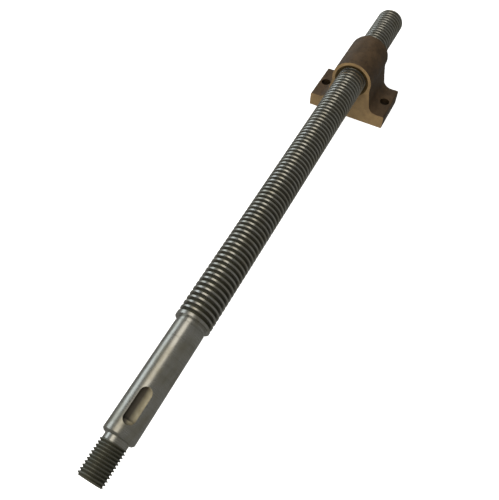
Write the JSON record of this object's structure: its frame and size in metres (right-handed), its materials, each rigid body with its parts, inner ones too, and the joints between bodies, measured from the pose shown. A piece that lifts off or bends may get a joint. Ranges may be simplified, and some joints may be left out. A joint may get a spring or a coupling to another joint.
{
  "type": "lead screw with bracket nut",
  "caption": "Left-hand trapezoidal lead screw with a keyed drive journal and an end thread, running in a cast bronze bracket nut with two bolt ears.",
  "frame": {"origin": "on the nut's mounting face, midway between its two bolt holes", "axes": "+X along the screw towards its free end, +Y across the base, +Z from the mounting face towards the screw"},
  "size_m": [0.6035, 0.092, 0.0735],
  "materials": {
    "turned_steel": "turned, oiled",
    "cast_bronze": "as cast, brown, with machined faces"
  },
  "bodies": {
    "nut": {"bracket_nut": "cast_bronze"},
    "screw": {"lead_screw": "turned_steel"}
  },
  "joints": [
    {"name": "screw_travel", "type": "slide", "parent": "nut", "child": "screw", "axis": [1, 0, 0], "range_m": [-0.07, 0.34]}
  ]
}
